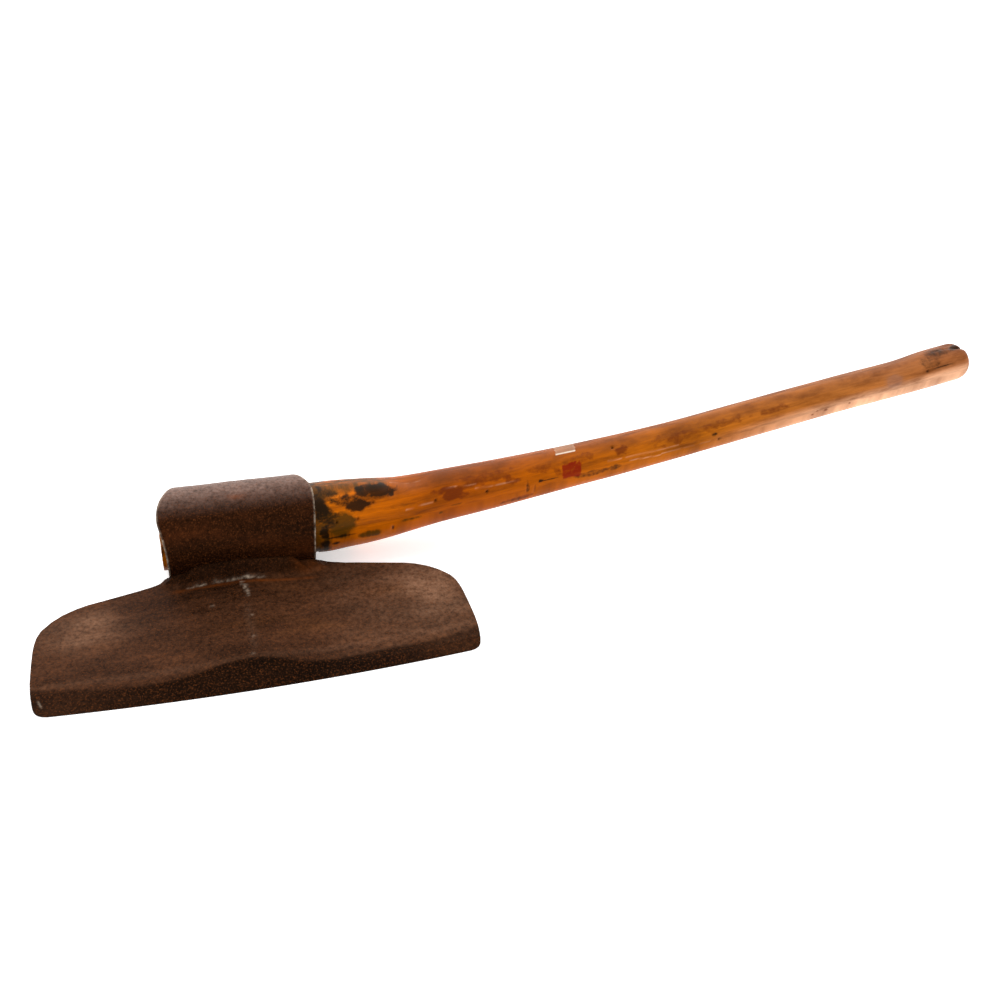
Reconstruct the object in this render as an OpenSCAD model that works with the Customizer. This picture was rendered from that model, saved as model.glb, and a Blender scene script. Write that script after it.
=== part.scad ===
// Broad axe: a rolled iron socket, a blade bevelled on one side only and laid with steel,
// and a bent wooden handle that a wooden wedge holds in the socket.
// It lies on its flat back. X runs along the eye towards the grip, Y from the cutting edge
// towards the poll, and Z up from the flat back. The origin is on the back, under the eye.

/* [Blade] */
// Length of the blade along its cutting edge
blade_l = 302; // [250:1:365]
// Distance from the middle of the cutting edge to the eye's centre line
edge_reach = 149; // [138:1:180]
// Height of the wings above the middle of the cutting edge, at the blade's ends
wing_h = 103; // [85:1:120]
// How far the wings' top edges rise from the ends to the socket
wing_rise = 24; // [16:1:32]
// Radius of the rounded shoulders
shoulder_r = 50; // [30:1:60]
// How far the cutting edge bows out between its corners
edge_bow = 6.5; // [4:0.5:12]
// Radius of the worn corners of the cutting edge
corner_r = 14; // [8:1:18]
// Thickness of the wings
wing_t = 5; // [4:0.5:6]
// Thickness along the ridge in line with the socket
ridge_t = 9.5; // [8:0.5:11]
// Width of the ridge's foot
ridge_w = 96; // [76:1:116]
// Distance of the ridge from the middle of the blade, negative towards the toe
ridge_shift = -8; // [-12:1:12]
// Angle of the bevel ground on the upper face
bevel_angle = 20; // [16:1:26]

/* [Laid steel edge] */
// Width of the steel along the flat back
steel_w = 45; // [34:1:60]
// Thickness of the steel
steel_t = 2.5; // [1.5:0.5:3.5]

/* [Socket] */
// Diameter of the round eye
eye_d = 54.4; // [44:0.1:62]
// Thickness of the rolled strap
strap_t = 6.3; // [4:0.1:8]
// Length of the socket along the eye, at its blade side
socket_l = 110; // [95:1:132]
// Length of the socket at the poll, where both ends are cut back
poll_l = 76; // [60:1:88]
// Distance of the socket's middle from the middle of the blade, negative towards the toe
socket_shift = -4.5; // [-8:0.5:8]
// Depth to which the socket's underside is dressed flat with the back
back_flat = 0.5; // [0.3:0.1:1]
// Length of the scarf that laps the strap under the blade
scarf_l = 22; // [16:1:30]

/* [Handle] */
// Length of the handle past the socket
grip_reach = 557; // [450:1:680]
// Rise of the grip's end above the eye's centre line
grip_rise = 80; // [60:1:100]
// Width of the grip's oval section along Y
grip_w = 35.2; // [30:0.2:42]
// Height of the grip's oval section
grip_h = 28; // [24:0.2:34]
// Length over which the grip's end is rounded
butt_round = 12; // [8:1:20]
// How far the handle stands out of the socket at the toe end
toe_proud = 1; // [0:0.5:4]

/* [Wedge] */
// Length of the wooden wedge
wedge_l = 60; // [45:1:75]
// Thickness of the wedge at its head
wedge_t = 7; // [5:0.5:9]
// Thickness of the wedge at its tip
wedge_tip_t = 1.5; // [1:0.1:2.5]
// How far the wedge stands out of the handle's end
wedge_proud = 1; // [0.5:0.5:3]

/* [Fits] */
// Gap between the handle and the wall of the eye
eye_gap = 0.15; // [0.05:0.05:0.3]
// Gap between the wedge and each side of its kerf
kerf_gap = 0.05; // [0.02:0.01:0.15]

/* [Hidden] */

$fn = 96;
// Cutters pass this far beyond what they cut.
over = 1;

half_l = blade_l / 2;
edge_y = -edge_reach;
shoulder_y = edge_y + wing_h;
notch_y = shoulder_y + wing_rise;
edge_r = (half_l * half_l + edge_bow * edge_bow) / (2 * edge_bow);

socket_r = eye_d / 2 + strap_t;
eye_z = socket_r - back_flat;
toe_x = socket_shift - socket_l / 2;
heel_x = socket_shift + socket_l / 2;
// The ends are square from the blade up to here, and slant back from here to the poll.
slant_y = -eye_d / 5;
// Where the strap's outer face comes down to the blade's ridge.
junction_y = -sqrt(pow(socket_r, 2) - pow(eye_z - ridge_t, 2));

handle_r = eye_d / 2 - eye_gap;
toe_end_x = toe_x - toe_proud;
neck_x = heel_x + 2;
grip_end_x = heel_x + grip_reach;
kerf_extra = 5;

// The handle's bend, as [% of the way from the socket to the grip's end, % of the rise].
bend = [
    [0, -1.5], [3, -0.5], [7.5, 0.5], [12, 1.5], [18, 6.5], [26.5, 13.5], [35.5, 21.5],
    [44.5, 30], [54, 40.5], [66, 56], [79, 72.5], [89, 84], [94, 91.5], [100, 99.5]
];
// The handle's taper, as [% of the way along, % of the swell that the socket end has].
taper = [
    [0, 98], [3, 93], [7.5, 78], [12, 59], [18, 44], [26.5, 30], [35.5, 17],
    [44.5, 9], [54, 3], [66, 2], [79, 1], [89, 0], [94, 8], [100, 7]
];
handle_rings = 44;
butt_rings = 6;
handle_sides = 28;

// A smooth curve through a list of knots: a cubic between each pair, with matched slopes.
function knot_slope(k, i) =
    let (a = max(i - 1, 0), b = min(i + 1, len(k) - 1))
    (k[b][1] - k[a][1]) / (k[b][0] - k[a][0]);
function knot_before(k, x, i = 0) =
    i >= len(k) - 2 || x < k[i + 1][0] ? i : knot_before(k, x, i + 1);
function smooth(k, x) =
    let (i = knot_before(k, x), w = k[i + 1][0] - k[i][0], t = (x - k[i][0]) / w)
    k[i][1] * (1 + 2 * t) * pow(1 - t, 2) + k[i + 1][1] * t * t * (3 - 2 * t)
    + w * t * (1 - t) * (knot_slope(k, i) * (1 - t) - knot_slope(k, i + 1) * t);

function arc(centre, r, from, to, steps) =
    [for (i = [0:steps]) let (a = from + (to - from) * i / steps)
        centre + r * [cos(a), sin(a)]];

// Extrudes a profile drawn in Y and Z along X, between two places.
module along_x(from, to) {
    translate([from, 0, 0]) rotate([90, 0, 90]) linear_extrude(to - from) children();
}

// Half of the blade seen from above: the end, the rounded shoulder and the wing's top edge.
module half_plan() {
    rise_angle = atan2(wing_rise, half_l - heel_x);
    lean = 90 - rise_angle;
    tangent = shoulder_r * tan(lean / 2);
    polygon(concat(
        [[0, edge_y - edge_bow], [half_l, edge_y - edge_bow]],
        arc([half_l - shoulder_r, shoulder_y - tangent], shoulder_r, 0, lean, 10),
        [[heel_x + strap_t, notch_y], [0, notch_y]]
    ));
}

// The corner that the cutting edge has worn round, as what is left of a square.
module corner_waste() {
    corner_y = edge_y + edge_bow;
    difference() {
        translate([half_l - corner_r, edge_y - over])
            square([corner_r + over, corner_r + edge_bow + over]);
        translate([half_l - corner_r, corner_y + corner_r]) circle(corner_r);
    }
}

module blade_plan() {
    for (side = [0, 1]) mirror([side, 0]) difference() {
        half_plan();
        corner_waste();
    }
}

// The blade and its steel as one forging, before they are told apart.
module blade_form() {
    ridge_from = ridge_shift - ridge_w / 2;
    ridge_to = ridge_shift + ridge_w / 2;
    intersection() {
        linear_extrude(ridge_t + over) blade_plan();
        translate([0, over, 0]) rotate([90, 0, 0]) linear_extrude(edge_reach + edge_bow + 2 * over)
            polygon([
                [-half_l - over, 0], [half_l + over, 0], [half_l + over, wing_t],
                [ridge_to, wing_t], [ridge_shift, ridge_t], [ridge_from, wing_t],
                [-half_l - over, wing_t]
            ]);
        translate([0, edge_y + edge_r, 0])
            cylinder(ridge_t + over, edge_r, edge_r - (ridge_t + over) / tan(bevel_angle), $fn = 256);
    }
}

module steel_block() {
    translate([-half_l - over, edge_y - edge_bow - over, -over])
        cube([blade_l + 2 * over, steel_w + edge_bow + over, steel_t + over]);
}

// The scarf runs from the flat back up to the ridge, and a little way into the strap.
module tail_profile() {
    polygon([
        [0, 0], [junction_y - scarf_l, 0],
        [junction_y + scarf_l * over / ridge_t, ridge_t + over], [0, eye_z]
    ]);
}

module socket_plan() {
    half_poll = poll_l / 2;
    polygon([
        [toe_x, edge_y], [heel_x, edge_y], [heel_x, slant_y],
        [socket_shift + half_poll, socket_r], [socket_shift - half_poll, socket_r],
        [toe_x, slant_y]
    ]);
}

// A round bar on the eye's centre line, between two places along X.
module eye_bar(r, from, to) {
    translate([from, 0, eye_z]) rotate([0, 90, 0]) cylinder(h = to - from, r = r);
}

module socket() {
    color("#3a241c") difference() {
        intersection() {
            union() {
                eye_bar(socket_r, toe_x - over, heel_x + over);
                along_x(toe_x - over, heel_x + over) tail_profile();
            }
            linear_extrude(2 * socket_r) socket_plan();
        }
        eye_bar(eye_d / 2, toe_x - 2 * over, heel_x + 2 * over);
    }
}

module blade() {
    color("#54392c") difference() {
        blade_form();
        steel_block();
        along_x(toe_x, heel_x) polygon([
            [over, -over], [junction_y - scarf_l - scarf_l * over / ridge_t, -over],
            [junction_y + scarf_l * 2 * over / ridge_t, ridge_t + 2 * over], [over, ridge_t + 2 * over]
        ]);
    }
}

module edge_steel() {
    color("#2b1712") intersection() {
        blade_form();
        steel_block();
    }
}

// One ring of the handle: its place along the handle in percent, shrunk where the end is round.
function handle_ring(way, shrink) = [
    for (i = [0:handle_sides - 1])
        let (
            a = 360 * i / handle_sides,
            swell = smooth(taper, way) / 100,
            half_w = grip_w / 2 + (handle_r - grip_w / 2) * swell,
            half_h = grip_h / 2 + (handle_r - grip_h / 2) * swell
        )
        [
            neck_x + (grip_end_x - neck_x) * way / 100,
            half_w * shrink * cos(a),
            eye_z + grip_rise * smooth(bend, way) / 100 + half_h * shrink * sin(a)
        ]
];

module handle_shaft() {
    round_from = 100 * (1 - butt_round / (grip_end_x - neck_x));
    straight = [for (i = [0:handle_rings]) handle_ring(round_from * i / handle_rings, 1)];
    rounded = [
        for (i = [1:butt_rings])
            let (a = 80 * i / butt_rings)
            handle_ring(round_from + (100 - round_from) * sin(a) / sin(80), cos(a))
    ];
    rings = concat(straight, rounded);
    n = handle_sides;
    last = len(rings) - 1;
    polyhedron(
        points = [for (ring = rings) each ring],
        faces = concat(
            [[for (i = [0:n - 1]) i]],
            [for (r = [0:last - 1]) for (i = [0:n - 1])
                [r * n + i, (r + 1) * n + i, (r + 1) * n + (i + 1) % n]],
            [for (r = [0:last - 1]) for (i = [0:n - 1])
                [r * n + i, (r + 1) * n + (i + 1) % n, r * n + (i + 1) % n]],
            [[for (i = [n - 1:-1:0]) last * n + i]]
        )
    );
}

// The wedge seen from above, with its sides moved out by a gap and its length by some more.
module wedge_plan(gap, extra_l) {
    head_x = toe_end_x - wedge_proud;
    tip_x = head_x + wedge_l;
    polygon([
        [head_x, -wedge_t / 2 - gap], [tip_x, -wedge_tip_t / 2 - gap],
        [tip_x + extra_l, -wedge_tip_t / 2 - gap], [tip_x + extra_l, wedge_tip_t / 2 + gap],
        [tip_x, wedge_tip_t / 2 + gap], [head_x, wedge_t / 2 + gap]
    ]);
}

module handle() {
    color("#b3661f") difference() {
        union() {
            eye_bar(handle_r, toe_end_x, neck_x);
            handle_shaft();
        }
        linear_extrude(2 * socket_r) wedge_plan(kerf_gap, kerf_extra);
    }
}

module kerf_wedge() {
    color("#c99a63") intersection() {
        linear_extrude(2 * socket_r) wedge_plan(0, 0);
        eye_bar(handle_r - kerf_gap, toe_end_x - 2 * wedge_proud, toe_end_x + wedge_l);
    }
}

socket();
blade();
edge_steel();
handle();
kerf_wedge();
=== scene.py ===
import math

import bmesh
import bpy
from mathutils import Matrix, Vector, noise


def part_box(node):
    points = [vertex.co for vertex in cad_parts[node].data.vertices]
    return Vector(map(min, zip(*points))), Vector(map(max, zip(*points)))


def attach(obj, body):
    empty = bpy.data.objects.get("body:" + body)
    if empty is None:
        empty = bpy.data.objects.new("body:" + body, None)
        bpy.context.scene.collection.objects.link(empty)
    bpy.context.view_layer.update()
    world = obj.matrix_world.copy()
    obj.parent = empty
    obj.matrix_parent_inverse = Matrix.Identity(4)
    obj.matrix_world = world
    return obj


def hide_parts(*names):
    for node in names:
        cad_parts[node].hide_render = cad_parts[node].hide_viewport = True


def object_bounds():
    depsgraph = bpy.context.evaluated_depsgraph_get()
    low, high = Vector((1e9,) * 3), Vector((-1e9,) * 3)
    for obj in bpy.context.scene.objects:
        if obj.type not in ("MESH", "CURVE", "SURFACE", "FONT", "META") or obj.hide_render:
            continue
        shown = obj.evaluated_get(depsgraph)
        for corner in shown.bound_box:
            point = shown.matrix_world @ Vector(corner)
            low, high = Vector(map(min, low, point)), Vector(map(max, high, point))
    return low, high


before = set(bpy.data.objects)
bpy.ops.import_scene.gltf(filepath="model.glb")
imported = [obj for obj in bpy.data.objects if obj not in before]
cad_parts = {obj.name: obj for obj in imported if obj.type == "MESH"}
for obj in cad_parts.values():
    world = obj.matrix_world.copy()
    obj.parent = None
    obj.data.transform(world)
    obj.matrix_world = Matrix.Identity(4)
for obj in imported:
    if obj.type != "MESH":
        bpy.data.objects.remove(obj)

cad_box = [list(map(float, corner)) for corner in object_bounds()]


# ---------------------------------------------------------------------------
# The blade: a wide plate of wrought iron, forged thin at the wings with a low
# ridge left under the socket. It is flat behind, ground to one bevel in front,
# and its root is forge-welded to the socket, where the weld has left a scar.
# ---------------------------------------------------------------------------
MM = 0.001
_, blade_high = (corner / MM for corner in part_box("blade"))
_, socket_high = (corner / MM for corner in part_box("socket"))
steel_low, steel_high = (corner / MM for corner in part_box("edge_steel"))
socket_r = socket_high.y
eye_z = socket_high.z - socket_r
half_blade, root_y, ridge_t = blade_high
edge_y = steel_low.y
steel_top, steel_back = steel_high.z, steel_high.y
wing_t = 5.0
ridge_x = -10.0
edge_t = 0.3
edge_bow = 6.5
weld_y = -36.3
# along x, where the weld's flare, its filling and the strap's tail start, are full, fall off and end
flare_ends, fill_ends, tail_ends = (-66, -52, 44, 59), (-57, -36, 28, 49), (-58, -56, 47, 49)
# the strap's tail under the plate: y where it feathers out, y where it has its full thickness
scarf_from, scarf_to = -45.87, -23.87
# the plate's outline, from the middle out to either end: x, y
root_line = [(0, root_y), (58, root_y), (60, -23), (72, -27), (85, -30), (100, -33.5), (115, -37),
             (123, -40), (132, -45), (139, -51), (146, -60), (148.6, -67), (150, -75),
             (150.6, -84), (half_blade, -95)]
corner_line = [(140, -143.4), (143.5, -142.4), (146.3, -140.6), (148.2, -137.8), (149.3, -134),
               (150, -129), (150.6, -123), (half_blade, -114)]
# how steeply the ground bevel rises from the edge: x, slope
bevel_slope = [(-150, 0.184), (-132, 0.21), (-109, 0.258), (-88, 0.285), (-71, 0.323),
               (-50, 0.355), (20, 0.352), (42, 0.330), (61, 0.305), (84, 0.292), (104, 0.285), (128, 0.258),
               (150, 0.225)]


def curve(stops, place):
    """A smooth line through (place, value) stops, level beyond both ends."""
    if place <= stops[0][0]:
        return stops[0][1]
    if place >= stops[-1][0]:
        return stops[-1][1]
    i = next(k for k in range(len(stops) - 1) if place <= stops[k + 1][0])
    (x0, y0), (x1, y1) = stops[i], stops[i + 1]
    before, after = stops[max(i - 1, 0)], stops[min(i + 2, len(stops) - 1)]
    leave = (y1 - before[1]) / (x1 - before[0]) * (x1 - x0)
    arrive = (after[1] - y0) / (after[0] - x0) * (x1 - x0)
    t = (place - x0) / (x1 - x0)
    return ((2 * t**3 - 3 * t * t + 1) * y0 + (t**3 - 2 * t * t + t) * leave
            + (3 * t * t - 2 * t**3) * y1 + (t**3 - t * t) * arrive)


def line(stops, place):
    """Straight runs between (place, value) stops, for outlines that turn sharply."""
    if place <= stops[0][0]:
        return stops[0][1]
    for (x0, y0), (x1, y1) in zip(stops, stops[1:]):
        if place <= x1:
            return y0 + (y1 - y0) * (place - x0) / (x1 - x0)
    return stops[-1][1]


def fade(value, start, end):
    """0 before start, 1 past end, with a soft ramp between."""
    t = min(max((value - start) / (end - start), 0.0), 1.0)
    return t * t * (3 - 2 * t)


def stretch(value, start, full, past, end):
    """1 from full to past, falling softly to 0 at start and at end."""
    return fade(value, start, full) * fade(value, end, past)


def bell(value, middle, half):
    """1 at the middle, down to about a third one half width away."""
    return math.exp(-((value - middle) / half) ** 2)


def clamp(value):
    return min(max(value, 0.0), 1.0)


def rough(x, y, z, size, detail=2):
    """Even-tempered lumps about that many mm across, from -1 to 1."""
    return noise.fractal(Vector((x, y, z)) / size, 1.0, 2.0, detail)


def cutting_edge(x):
    return edge_y + edge_bow * (x / half_blade) ** 2


def lower_line(x):
    bow = cutting_edge(x)
    return bow if abs(x) < corner_line[0][0] else max(bow, line(corner_line, abs(x)))


def plate_height(x, y):
    """The hammered front face: thin wings, a low ridge, and shallow forging marks."""
    reach = 44.0 if x < ridge_x else 33.0
    plate = wing_t + (ridge_t - wing_t) * bell(x, ridge_x, reach)
    hammer_marks = 0.22 * rough(x, y, 3.0, 34)
    fire_scale = 0.07 * rough(x, y * 1.8, 9.0, 8)
    return plate + hammer_marks + fire_scale


def bevel_height(x, y):
    return edge_t + curve(bevel_slope, x) * (y - cutting_edge(x))


def face_height(x, y):
    """Height of the finished front face above the flat back, in mm."""
    plate, bevel = plate_height(x, y), bevel_height(x, y)
    soften = 1.5
    meet = max(soften - abs(plate - bevel), 0.0) / soften
    return max(min(plate, bevel) - meet * meet * soften / 4, edge_t)


def quarter_round(share, most):
    """The rise of a quarter circle, flat at 0 and all but upright at the most."""
    return 1 - math.sqrt(1 - min(max(share, 0.0), most) ** 2)


def weld_relief(x, y):
    """The fillet up the socket wall, and the ragged bead that the weld left at its foot.
    The fillet flares past the socket's ends, and between them it is filled much higher."""
    flare_h, flare_run = 9.5, 6.6
    fill_h, fill_run = 16.5, 3.1
    sunk, bead_most = 1.6, 1.2
    uneven = 0.5 * rough(x, 0, 5, 9)
    flare = flare_h * quarter_round((y - weld_y - 0.5 + uneven) / flare_run, 0.985) * stretch(x, *flare_ends)
    filled = fill_h * quarter_round((y - weld_y + 0.1 + uneven) / fill_run, 0.995) * stretch(x, *fill_ends)
    wall = eye_z - math.sqrt(max((socket_r - sunk) ** 2 - y * y, 0.0)) - ridge_t
    fillet = min(max(flare, filled), max(wall, 0.0) + bead_most)
    bead = stretch(x, -29, -24, 6, 12) * bell(y, weld_y - rough(x, 0, 3, 11), 0.9)
    branch_x = -6.0 - 0.16 * (y + 41) - 0.8 * rough(x, y, 1, 5)
    branch = 0.8 * stretch(y, -59, -56, -41, -38) * bell(x, branch_x, 1.3)
    crumbs = 0.8 * stretch(x, -47, -44, -34, -31) * bell(y, weld_y - 0.3, 0.9)
    lump = max(0.55 + 1.1 * rough(x, y, 7.0, 2.6), 0.0)
    return fillet, min(max(bead, branch, crumbs) * lump, bead_most)


def piece_from(bm, name, smooth_angle):
    """Makes the finished piece of a shape in mm, smooth but for its worked corners."""
    mesh = bpy.data.meshes.new(name)
    bm.to_mesh(mesh)
    bm.free()
    mesh.transform(Matrix.Scale(MM, 4))
    mesh.shade_smooth()
    mesh.set_sharp_from_angle(angle=math.radians(smooth_angle))
    piece = bpy.data.objects.new(name, mesh)
    bpy.context.scene.collection.objects.link(piece)
    return piece


def sharp_edges(bm, angle):
    """The edges where two faces meet at more than the angle, in radians."""
    return [e for e in bm.edges if len(e.link_faces) == 2 and e.calc_face_angle() > angle]


def draw_out(bm, way):
    """Gives a flat shape its thickness: its faces are copied and moved that way."""
    grown = bmesh.ops.extrude_face_region(bm, geom=bm.faces[:], use_keep_orig=True)["geom"]
    moved = [part for part in grown if isinstance(part, bmesh.types.BMVert)]
    bmesh.ops.translate(bm, vec=way, verts=moved)


def wrought_plate(name, columns, rows, near, far, floor_of, roof_of, row_bias, smooth_angle):
    """A blank plate cut to the outline, its rim eased, then hammered to its thickness."""
    blank_t = 5.0
    bm = bmesh.new()
    bmesh.ops.create_grid(bm, x_segments=columns, y_segments=rows, size=1.0)
    for v in bm.verts:
        x = half_blade * (0.3 * v.co.x + 0.7 * math.sin(v.co.x * math.pi / 2))
        share = row_bias((v.co.y + 1) / 2)
        v.co = (x, near(x) + (far(x) - near(x)) * share, 0.0)
    draw_out(bm, (0, 0, blank_t))
    bmesh.ops.recalc_face_normals(bm, faces=bm.faces)
    rim = [e for e in sharp_edges(bm, 1.0) if abs(e.verts[0].co.z - e.verts[1].co.z) < 0.01]
    bmesh.ops.bevel(bm, geom=rim, offset=0.3, affect="EDGES", segments=2, profile=0.5, material=-1)
    for v in bm.verts:
        share = v.co.z / blank_t
        low, high = floor_of(v.co.x, v.co.y), roof_of(v.co.x, v.co.y)
        v.co.z = low + share * (high - low)
    bmesh.ops.recalc_face_normals(bm, faces=bm.faces)
    return piece_from(bm, name, smooth_angle)


def plate_front(x):
    """Where the bevel comes down to the top of the steel laid in below it."""
    step = 0.06
    return max(cutting_edge(x) + (steel_top + step - edge_t) / curve(bevel_slope, x), lower_line(x))


def root_outline(x):
    return line(root_line, abs(x))


def iron_floor(x, y):
    """Underside: flat, stepped up over the steel, and scarfed up over the strap's tail."""
    sunk = 0.04
    if y < steel_back:
        return steel_top - sunk
    scarf = min((y - scarf_from) / (scarf_to - scarf_from) * ridge_t, ridge_t)
    return max(0.0, scarf * stretch(x, *tail_ends))


def iron_roof(x, y):
    fillet, bead = weld_relief(x, y)
    return face_height(x, y) + fillet + 0.8 * bead


def closer_at_root(share):
    """Packs the rows of faces towards the root, where the weld needs them."""
    return 0.42 * share + 0.58 * (1 - (1 - share) ** 2)


blade = wrought_plate("axe_blade", columns=230, rows=136, near=plate_front, far=root_outline,
                      floor_of=iron_floor, roof_of=iron_roof, row_bias=closer_at_root, smooth_angle=50)


def srgb(code):
    """An sRGB hex colour as the linear colour that the shader works in."""
    parts = [int(code[i:i + 2], 16) / 255 for i in (1, 3, 5)]
    return [p / 12.92 if p <= 0.04045 else ((p + 0.055) / 1.055) ** 2.4 for p in parts] + [1.0]


# the sockets of a Mix node that works on colours, and its two ways of mixing
MASK, UNDER, OVER = 0, 6, 7
covered = {"data_type": "RGBA", "blend_type": "MIX"}
multiplied = {"data_type": "RGBA", "blend_type": "MULTIPLY"}


def limits(from_low, from_high, to_low, to_high):
    """The four limits of a Map Range node, by socket."""
    return {1: from_low, 2: from_high, 3: to_low, 4: to_high}


def add(tree, kind, sockets=None, ramp=None, **settings):
    """Adds one node with its settings and ramp stops. Each socket is given a value, an
    output to link, or a whole node, which stands for its first output in use."""
    made = tree.nodes.new(kind)
    for name, value in settings.items():
        setattr(made, name, value)
    if ramp:
        stops = made.color_ramp.elements
        while len(stops) < len(ramp):
            stops.new(1.0)
        for stop, (place, colour) in zip(stops, ramp):
            stop.position = place
            stop.color = srgb(colour)
    for name, value in (sockets or {}).items():
        if isinstance(value, bpy.types.Node):
            value = next(output for output in value.outputs if output.enabled)
        if isinstance(value, bpy.types.NodeSocket):
            tree.links.new(value, made.inputs[name])
        else:
            made.inputs[name].default_value = value
    return made


def blank_material(name):
    """An empty material, and the tree to build it in."""
    made = bpy.data.materials.new(name)
    made.use_nodes = True
    made.node_tree.nodes.clear()
    return made, made.node_tree


def paint(piece, layer, colour_at):
    """Stores what colour_at(x, y, z) says, in mm, on every point of the piece."""
    marks = piece.data.attributes.new(layer, "FLOAT_COLOR", "POINT")
    for v, mark in zip(piece.data.vertices, marks.data):
        mark.color = colour_at(*(v.co / MM))


def old_iron(name, deep, brown, rust, handling_and_painted_light, roughness, shine):
    """Wrought iron under a hundred years of brown patina: rust that has been oiled and held in hands
    until it is dark and a little glossy. Fine orange specks stand in its pits, faint streaks run along
    the plate, and worn places show bare grey metal. The lighter colour laid through it is partly painted
    sheen, and the tone's alpha darkens it with painted shade and the bevel's darker finish."""
    made, tree = blank_material(name)
    where = add(tree, "ShaderNodeTexCoord").outputs["Object"]
    drawn = add(tree, "ShaderNodeMapping", {"Vector": where, "Scale": (0.28, 1.0, 1.0)})
    marks = add(tree, "ShaderNodeAttribute", attribute_name="tone").outputs
    tan_and_sheen, streak, bare = add(tree, "ShaderNodeSeparateColor", {0: marks["Color"]}).outputs[:3]
    # cloudy patina, patches 15 to 40 mm across
    clouds = add(tree, "ShaderNodeTexNoise",
                 {"Vector": drawn, "Scale": 38.0, "Detail": 5.0, "Roughness": 0.62})
    base = add(tree, "ShaderNodeValToRGB", {0: clouds}, ramp=[(0.30, deep), (0.55, brown), (0.80, rust)])
    # 3 mm mottling, with the lighter colour of handling and of a painted sheen laid through it
    mottle = add(tree, "ShaderNodeTexNoise",
                 {"Vector": where, "Scale": 330.0, "Detail": 3.0, "Roughness": 0.7})
    shade = add(tree, "ShaderNodeMapRange", {0: mottle, **limits(0.3, 0.7, 0.42, 1.66)})
    mottled = add(tree, "ShaderNodeMix", {MASK: 1.0, UNDER: base, OVER: shade}, **multiplied)
    tan_mask = add(tree, "ShaderNodeMath", {0: tan_and_sheen, 1: shade}, operation="MULTIPLY", use_clamp=True)
    lighter = add(tree, "ShaderNodeMix", {MASK: tan_mask, UNDER: mottled, OVER: srgb(handling_and_painted_light)}, **covered)
    # darker than the hammered face where the tone's alpha says: painted shade on the filled weld, the
    # blade's middle and the socket's lower front, and the bevel's own darker finish with painted shade
    dark = add(tree, "ShaderNodeMapRange", {0: marks["Alpha"], 3: 1.0, 4: 0.13})
    shaded = add(tree, "ShaderNodeMix", {MASK: 1.0, UNDER: lighter, OVER: dark}, **multiplied)
    # rust grains in the pits, about 1.3 mm, drawn as coarse as they need to show
    grains = add(tree, "ShaderNodeTexNoise",
                 {"Vector": where, "Scale": 760.0, "Detail": 3.0, "Roughness": 0.7})
    grain_mask = add(tree, "ShaderNodeMapRange", {0: grains, **limits(0.52, 0.74, 0.0, 0.55)})
    speckled = add(tree, "ShaderNodeMix", {MASK: grain_mask, UNDER: shaded, OVER: srgb("#6e3c1c")}, **covered)
    # streaks of fresh rust along the weld
    streak_break = add(tree, "ShaderNodeTexNoise", {"Vector": drawn, "Scale": 420.0, "Detail": 3.0})
    streak_mask = add(tree, "ShaderNodeMath", {0: streak, 1: streak_break}, operation="MULTIPLY")
    rusted = add(tree, "ShaderNodeMix",
                 {MASK: streak_mask, UNDER: speckled, OVER: srgb("#8a4310")}, **covered)
    # bare metal, broken up where the patina holds on
    bare_break = add(tree, "ShaderNodeMapRange", {0: mottle, **limits(0.36, 0.62, 0.15, 1.0)})
    bare_mask = add(tree, "ShaderNodeMath", {0: bare, 1: bare_break}, operation="MULTIPLY")
    worn = add(tree, "ShaderNodeMix", {MASK: bare_mask, UNDER: rusted, OVER: srgb("#b3a28f")}, **covered)
    sheen = add(tree, "ShaderNodeMapRange",
                {0: mottle, **limits(0.25, 0.75, roughness - 0.08, roughness + 0.14)})
    pits = add(tree, "ShaderNodeBump", {"Height": grains, "Strength": 0.55, "Distance": 0.0004})
    relief = add(tree, "ShaderNodeBump",
                 {"Height": mottle, "Strength": 0.5, "Distance": 0.0006, "Normal": pits})
    skin = add(tree, "ShaderNodeBsdfPrincipled",
               {"Base Color": worn, "Roughness": sheen, "Metallic": 0.0, "Specular IOR Level": shine,
                "Specular Tint": srgb("#ffc4a0"), "Normal": relief})
    add(tree, "ShaderNodeOutputMaterial", {0: skin})
    return made


# small bright spots down the middle of the plate: x, y
bright_dots = [(-4.3, -80.5), (-30, -63), (-5, -104), (-7.9, -122)]
dot_r = 1.183


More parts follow.
